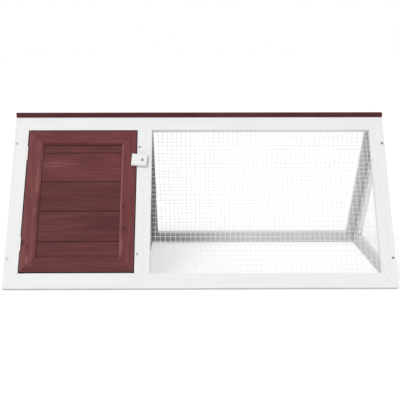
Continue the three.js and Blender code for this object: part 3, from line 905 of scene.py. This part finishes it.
def cross_outline(arm, slot):
    """The mouth of a cross recess."""
    return [
        (slot, slot), (slot, arm), (-slot, arm), (-slot, slot), (-arm, slot), (-arm, -slot),
        (-slot, -slot), (-slot, -arm), (slot, -arm), (slot, -slot), (arm, -slot), (arm, slot),
    ]


def screw_head(bm, matrix, radius, rise):
    """A screw's head with a rounded rim and a cross recess sunk in its top."""
    top = rise * HEAD_CROWN
    profile = [
        (0, HEAD_UNDER), (radius * 0.55, HEAD_UNDER), (radius * 0.97, -0.0002), (radius, 0.0),
        (radius * 0.93, rise * 0.55), (radius * 0.70, rise), (radius * HEAD_FLAT, top),
    ]
    add_turned(bm, profile, matrix, HEAD_SIDES)
    cross = cross_outline(radius * RECESS_ARM, radius * RECESS_SLOT)
    rim = [bm.verts.new(matrix @ Vector((x, y, top))) for x, y in circle(radius * HEAD_FLAT, HEAD_SIDES)]
    mouth = [bm.verts.new(matrix @ Vector((x, y, top))) for x, y in cross]
    sunk = [(RECESS_FLOOR * x, RECESS_FLOOR * y, top - RECESS_DEPTH) for x, y in cross]
    floor = [bm.verts.new(matrix @ Vector(corner)) for corner in sunk]
    edges = [bm.edges.new(pair) for loop in (rim, mouth) for pair in zip(loop, loop[1:] + loop[:1])]
    bmesh.ops.triangle_fill(bm, use_beauty=True, edges=edges, normal=matrix.to_3x3() @ UPRIGHT)
    bridge(bm, mouth, floor)
    bm.faces.new(floor)
    bmesh.ops.remove_doubles(bm, verts=bm.verts, dist=1e-6)


def add_screw(name, matrix, size, replaced=()):
    """A whole screw along -Z of the matrix: head, shank and the start of the tip."""
    radius, rise, length = size
    bm = bmesh.new()
    screw_head(bm, matrix, radius, rise)
    shank = [
        (0, -length), (TIP_RADIUS, -length), (SHANK_RADIUS, TIP_LENGTH - length),
        (SHANK_RADIUS, SHANK_TOP), (0, SHANK_TOP),
    ]
    add_turned(bm, shank, matrix, SHANK_SIDES)
    new_piece(name, bm, SCREW_ZINC, "hutch", replaced, smooth=False)


def frame_screw(side, name, level, x, y):
    """One screw through a sloping panel into an upright frame; those of the back have no CAD node."""
    recess_turn = SCREW_TURN[0] * x + SCREW_TURN[1] * y
    seat = Matrix.Translation((on_side(side, x), y, SCREW_LIFT))
    place = slope_matrix(side) @ seat @ Matrix.Rotation(recess_turn, 4, "Z")
    node = f"{name}_screw_{level}"
    if side == "front":
        add_screw(f"{node}_visual", place, FRONT_SCREW, [node])
    else:
        add_screw(f"back_{node}", place, BACK_SCREW)


def assembly_screws():
    for side in ("front", "back"):
        for name, x, heights in FRAME_SCREWS:
            for level, y in heights.items():
                frame_screw(side, name, level, x, y)


def button_screw():
    seat = Matrix.Translation((*BUTTON_PIVOT, BUTTON_FACE + GAP))
    place = slope_matrix("front") @ seat @ Matrix.Rotation(BUTTON_SCREW_TURN, 4, "Z")
    add_screw("turn_button_screw_visual", place, BUTTON_SCREW, ["turn_button_screw"])


# Hinges


def knuckle_section(low, high):
    """(radius, y) pairs of a barrel's knuckle, with softened rims."""
    waist = BARREL_RADIUS - BARREL_SOFT
    return [
        (BARREL_BORE, low), (waist, low), (BARREL_RADIUS, low + BARREL_SOFT),
        (BARREL_RADIUS, high - BARREL_SOFT), (waist, high), (BARREL_BORE, high),
    ]


def add_leaf(name, x0, low, knuckles, body, replaced):
    """One leaf of a butt hinge, from x0 on, with its knuckles."""
    bm = bmesh.new()
    panel = slope_matrix("front")
    axis = panel @ Matrix.Translation((HINGE_X, 0, HINGE_OUT))
    x1 = x0 + LEAF_THICK
    add_box(bm, (x0, low, -LEAF_WIDTH), (x1, low + HINGE_LENGTH, LEAF_TOP), panel)
    for y0, y1 in knuckles:
        add_box(bm, (x0, y0, LEAF_TOP - LEAF_THICK), (x1, y1, KNUCKLE_ROOT_TOP), panel)
        add_ring(bm, axis, knuckle_section(y0, y1), BARREL_SIDES)
    new_piece(name, bm, HINGE_STEEL, body, replaced, smooth=False)


def add_leaf_screws(name, x, low, way, body):
    """Two flush screws in a leaf, on the face at x, with their heads towards +X or -X as way is 1 or -1."""
    bm = bmesh.new()
    turn = Matrix.Rotation(way * math.pi / 2, 4, "Y")
    for share in LEAF_SCREWS:
        centre = Matrix.Translation((x, low + share * HINGE_LENGTH, -LEAF_WIDTH * LEAF_SCREW_IN))
        add_turned(bm, LEAF_SCREW_PROFILE, slope_matrix("front") @ centre @ turn, LEAF_SCREW_SIDES)
    new_piece(name, bm, SCREW_ZINC, body, smooth=False)


def add_hinge_pin(level, low):
    """A hinge's pin with a domed head at both ends."""
    place = slope_matrix("front") @ Matrix.Translation((HINGE_X, low, HINGE_OUT))
    dome = [
        (PIN_HEAD * 0.5, PIN_HEAD_HIGH), (PIN_HEAD * 0.94, PIN_HEAD_HIGH * 0.6),
        (PIN_HEAD, GAP), (PIN_RADIUS, GAP),
    ]
    lower = [(radius, -height) for radius, height in dome]
    upper = [(radius, HINGE_LENGTH + height) for radius, height in dome[::-1]]
    profile = [(0, -PIN_HEAD_HIGH)] + lower + upper + [(0, HINGE_LENGTH + PIN_HEAD_HIGH)]
    bm = bmesh.new()
    add_turned(bm, profile, place @ Matrix.Rotation(-math.pi / 2, 4, "X"), PIN_SIDES)
    piece = f"{level}_hinge_pin"
    new_piece(f"{piece}_visual", bm, HINGE_STEEL, "hutch", [piece], smooth=False)


def hinges():
    third = HINGE_LENGTH / 3
    frame_leaf = LEFT_STILE + GAP
    door_leaf = DOOR_LEFT - GAP - LEAF_THICK
    for level, centre in HINGE_CENTRES.items():
        low = centre - HINGE_LENGTH / 2
        high = centre + HINGE_LENGTH / 2
        outer = [(low, low + third - GAP), (high - third + GAP, high)]
        middle = [(low + third, high - third)]
        for side, x, knuckles, body, way in (
            ("frame", frame_leaf, outer, "hutch", 1),
            ("door", door_leaf, middle, "door", -1),
        ):
            name = f"{level}_hinge_{side}_side"
            face = x + LEAF_THICK if way > 0 else x
            add_leaf(name, x, low, knuckles, body, [f"{level}_hinge_{side}_leaf"])
            add_leaf_screws(f"{name}_screws", face, low, way, body)
        add_hinge_pin(level, low)


# Pins that hold the boards


def board_pins():
    """Small pin heads at the ends of the back boards, on their inner face, where they lie on the stiles."""
    bm = bmesh.new()
    inwards = Matrix.Rotation(math.pi, 4, "X")
    for i in range(BACK_BOARDS):
        for share in BOARD_PIN_SHARES:
            y = BACK_BOARDS_LOW + (i + share) * BACK_BOARD_PITCH
            for x in BOARD_PIN_COLUMNS:
                place = slope_matrix("back") @ Matrix.Translation((x, y, -BATTEN - GAP - BOARD)) @ inwards
                add_turned(bm, BOARD_PIN_PROFILE, place, BOARD_PIN_SIDES)
    new_piece("back_board_pins", bm, HINGE_STEEL, "hutch", smooth=False)


# Floor, light and camera


def stage():
    bm = bmesh.new()
    bmesh.ops.create_grid(bm, x_segments=FLOOR_SQUARES, y_segments=FLOOR_SQUARES, size=FLOOR_HALF)
    data = bpy.data.meshes.new("floor")
    bm.to_mesh(data)
    bm.free()
    data.materials.append(pale_floor())
    floor = bpy.data.objects.new("floor", data)
    bpy.context.scene.collection.objects.link(floor)


def studio_world():
    """A white studio: bright all round at the object's height, dimmer overhead and high up on the right."""
    world = bpy.data.worlds.new("studio")
    world.use_nodes = True
    tree = world.node_tree
    background = tree.nodes["Background"]
    background.inputs["Color"].default_value = (1, 1, 1, 1)
    where = tree.nodes.new("ShaderNodeTexCoord")
    split = tree.nodes.new("ShaderNodeSeparateXYZ")
    tree.links.new(where.outputs["Generated"], split.inputs[0])

    def ramp(axis, span, first, last):
        """From first to last over a span of the direction's part along one axis."""
        made = tree.nodes.new("ShaderNodeMapRange")
        for name, value in zip(("From Min", "From Max", "To Min", "To Max"), (*span, first, last)):
            made.inputs[name].default_value = value
        tree.links.new(split.outputs[axis], made.inputs["Value"])
        return made.outputs["Result"]

    def product(first, second):
        made = tree.nodes.new("ShaderNodeMath")
        made.operation = "MULTIPLY"
        tree.links.new(first, made.inputs[0])
        tree.links.new(second, made.inputs[1])
        return made.outputs[0]

    shade = product(ramp("X", RIGHT_TURN, 0.0, 1.0 - RIGHT_SIDE), ramp("Z", RIGHT_RISE, 0.0, 1.0))
    kept = tree.nodes.new("ShaderNodeMath")
    kept.operation = "SUBTRACT"
    kept.inputs[0].default_value = 1.0
    tree.links.new(shade, kept.inputs[1])
    strength = product(ramp("Z", OVERHEAD_RISE, 1.0, OVERHEAD), kept.outputs[0])
    tree.links.new(strength, background.inputs["Strength"])
    bpy.context.scene.world = world


def key_light():
    """A broad, soft sun from the upper left."""
    data = bpy.data.lights.new("key", "SUN")
    data.angle = math.radians(KEY_SPREAD)
    data.energy = KEY_STRENGTH
    lamp = bpy.data.objects.new("key", data)
    lamp.rotation_euler = Vector(KEY_FROM).to_track_quat("Z", "Y").to_euler()
    bpy.context.scene.collection.objects.link(lamp)


def camera():
    data = bpy.data.cameras.new("camera")
    data.lens = CAMERA_LENS
    cam = bpy.data.objects.new("camera", data)
    cam.matrix_world = (
        Matrix.Translation(CAMERA_AT)
        @ Matrix.Rotation(math.radians(CAMERA_TURN), 4, "Z")
        @ Matrix.Rotation(math.radians(90 - CAMERA_DOWN), 4, "X")
        @ Matrix.Rotation(math.radians(CAMERA_ROLL), 4, "Z")
    )
    bpy.context.scene.collection.objects.link(cam)
    bpy.context.scene.camera = cam
    bpy.context.scene.view_settings.view_transform = "Standard"


WIRE = spangled_zinc("galvanised_wire", grey(0.85), metallic=0.24, rough=0.42, spangle=420.0)
HINGE_STEEL = spangled_zinc("hinge_steel", grey(0.66, 0.01), metallic=1.0, rough=0.34, spangle=260.0)
SCREW_ZINC = spangled_zinc("yellow_zinc", (0.36, 0.35, 0.32, 1), metallic=1.0, rough=0.34, spangle=500.0)

camera()
dress_timber()
joint_paint()
run_meshes()
end_mesh()
staples()
assembly_screws()
button_screw()
hinges()
board_pins()
stage()
studio_world()
key_light()
